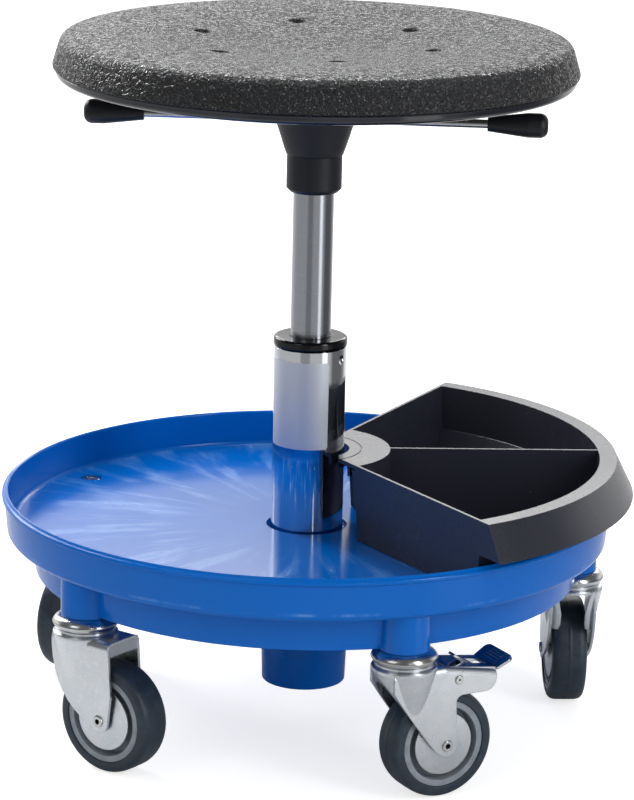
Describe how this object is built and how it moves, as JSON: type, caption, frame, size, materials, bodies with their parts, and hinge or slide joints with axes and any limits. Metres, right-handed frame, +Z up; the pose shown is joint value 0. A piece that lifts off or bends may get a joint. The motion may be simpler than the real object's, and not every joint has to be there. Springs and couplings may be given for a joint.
{
  "type": "creeper seat",
  "caption": "Rolling creeper seat: dished round foam seat on a gas lift with a release rod, a round tool tray on five swivel castors, and a parts bin that swings round the column.",
  "frame": {"origin": "on the floor, under the axis of the column", "axes": "+Z up along the column, +X from the column along the middle of the bin"},
  "size_m": [0.437, 0.4512, 0.4782],
  "materials": {
    "tray_plastic": "moulded polypropylene, satin blue",
    "bin_plastic": "moulded polypropylene, satin black",
    "seat_skin": "foam with a skin, fine leather grain, black",
    "board_wood": "plywood, bare",
    "hub_plastic": "glass-filled nylon, matt black",
    "knob_plastic": "matt black",
    "bush_plastic": "polished acetal, black",
    "stand_chrome": "polished",
    "cylinder_steel": "ground along its length",
    "zinc": "bright zinc plate",
    "bright_steel": "bright",
    "tyre_rubber": "smooth grey-black rubber",
    "core_plastic": "grey nylon",
    "buffer_rubber": "black",
    "valve_brass": "turned"
  },
  "bodies": {
    "base": {"tray": "tray_plastic", "stand_tube": "stand_chrome", "guide_bush": "bush_plastic", "bearing_lower_race": "bright_steel", "bearing_balls": "bright_steel", "castor_caps": "zinc", "castor_kingpins": "zinc", "castor_balls": "bright_steel", "castor_bolts": "zinc", "castor_nuts": "zinc"},
    "piston": {"piston_rod": "bright_steel", "piston": "bright_steel", "rod_clip": "bright_steel", "bearing_upper_race": "bright_steel", "rubber_buffer": "buffer_rubber"},
    "seat": {"gas_cylinder": "cylinder_steel", "cylinder_guide": "bright_steel", "valve_body": "valve_brass", "hub_sleeve": "hub_plastic", "seat_hub": "hub_plastic", "hub_screws": "zinc", "seat_board": "board_wood", "seat_pad": "seat_skin"},
    "release_pin": {"release_pin": "bright_steel"},
    "lever": {"release_rod": "zinc", "knob_right": "knob_plastic", "knob_left": "knob_plastic"},
    "bin": {"bin": "bin_plastic"},
    "castor_1": {"fork_1": "zinc", "axle_1": "zinc"},
    "castor_2": {"fork_2": "zinc", "axle_2": "zinc"},
    "castor_3": {"fork_3": "zinc", "axle_3": "zinc"},
    "castor_4": {"fork_4": "zinc", "axle_4": "zinc"},
    "castor_5": {"fork_5": "zinc", "axle_5": "zinc", "brake_rivet": "zinc"},
    "wheel_1": {"tyre_1": "tyre_rubber", "wheel_core_1": "core_plastic", "thread_guards_1": "zinc"},
    "wheel_2": {"tyre_2": "tyre_rubber", "wheel_core_2": "core_plastic", "thread_guards_2": "zinc"},
    "wheel_3": {"tyre_3": "tyre_rubber", "wheel_core_3": "core_plastic", "thread_guards_3": "zinc"},
    "wheel_4": {"tyre_4": "tyre_rubber", "wheel_core_4": "core_plastic", "thread_guards_4": "zinc"},
    "wheel_5": {"tyre_5": "tyre_rubber", "wheel_core_5": "core_plastic", "thread_guards_5": "zinc"},
    "brake": {"brake_pedal": "zinc"}
  },
  "joints": [
    {"name": "seat_swivel", "type": "hinge", "parent": "base", "child": "piston", "pos_m": [0, 0, 0.055], "axis": [0, 0, 1], "continuous": true},
    {"name": "seat_height", "type": "slide", "parent": "piston", "child": "seat", "axis": [0, 0, 1], "range_m": [-0.095, 0]},
    {"name": "release_press", "type": "slide", "parent": "seat", "child": "release_pin", "axis": [0, 0, 1], "range_m": [-0.0035, 0]},
    {"name": "lever_tip", "type": "hinge", "parent": "seat", "child": "lever", "pos_m": [0.02745, -0.00288, 0.42097], "axis": [-0.1045, -0.9945, 0], "range_deg": [0, 6], "stiffness_Nm_per_rad": 3, "springref_deg": -5.73},
    {"name": "bin_swivel", "type": "hinge", "parent": "base", "child": "bin", "pos_m": [0, 0, 0.16], "axis": [0, 0, 1], "continuous": true},
    {"name": "castor_swivel_1", "type": "hinge", "parent": "base", "child": "castor_1", "pos_m": [0.187, 0, 0.096], "axis": [0, 0, 1], "continuous": true},
    {"name": "castor_swivel_2", "type": "hinge", "parent": "base", "child": "castor_2", "pos_m": [0.05779, 0.17785, 0.096], "axis": [0, 0, 1], "continuous": true},
    {"name": "castor_swivel_3", "type": "hinge", "parent": "base", "child": "castor_3", "pos_m": [-0.15129, 0.10992, 0.096], "axis": [0, 0, 1], "continuous": true},
    {"name": "castor_swivel_4", "type": "hinge", "parent": "base", "child": "castor_4", "pos_m": [-0.15129, -0.10992, 0.096], "axis": [0, 0, 1], "continuous": true},
    {"name": "castor_swivel_5", "type": "hinge", "parent": "base", "child": "castor_5", "pos_m": [0.05779, -0.17785, 0.096], "axis": [0, 0, 1], "continuous": true},
    {"name": "wheel_spin_1", "type": "hinge", "parent": "castor_1", "child": "wheel_1", "pos_m": [0.18656, 0.025, 0.0375], "axis": [-0.9998, -0.0175, 0], "continuous": true},
    {"name": "wheel_spin_2", "type": "hinge", "parent": "castor_2", "child": "wheel_2", "pos_m": [0.06551, 0.20162, 0.0375], "axis": [-0.9511, 0.309, 0], "continuous": true},
    {"name": "wheel_spin_3", "type": "hinge", "parent": "castor_3", "child": "wheel_3", "pos_m": [-0.16264, 0.08764, 0.0375], "axis": [0.891, -0.454, 0], "continuous": true},
    {"name": "wheel_spin_4", "type": "hinge", "parent": "castor_4", "child": "wheel_4", "pos_m": [-0.13186, -0.12565, 0.0375], "axis": [0.6293, 0.7771, 0], "continuous": true},
    {"name": "wheel_spin_5", "type": "hinge", "parent": "castor_5", "child": "wheel_5", "pos_m": [0.08026, -0.16689, 0.0375], "axis": [-0.4384, 0.8988, 0], "continuous": true},
    {"name": "brake_tip", "type": "hinge", "parent": "castor_5", "child": "brake", "pos_m": [0.087, -0.1636, 0.0824], "axis": [-0.4384, 0.8988, 0], "range_deg": [0, 12]}
  ],
  "couplings": [
    {"joint": "release_press", "follows": "lever_tip", "m_per_rad": -0.0276}
  ]
}
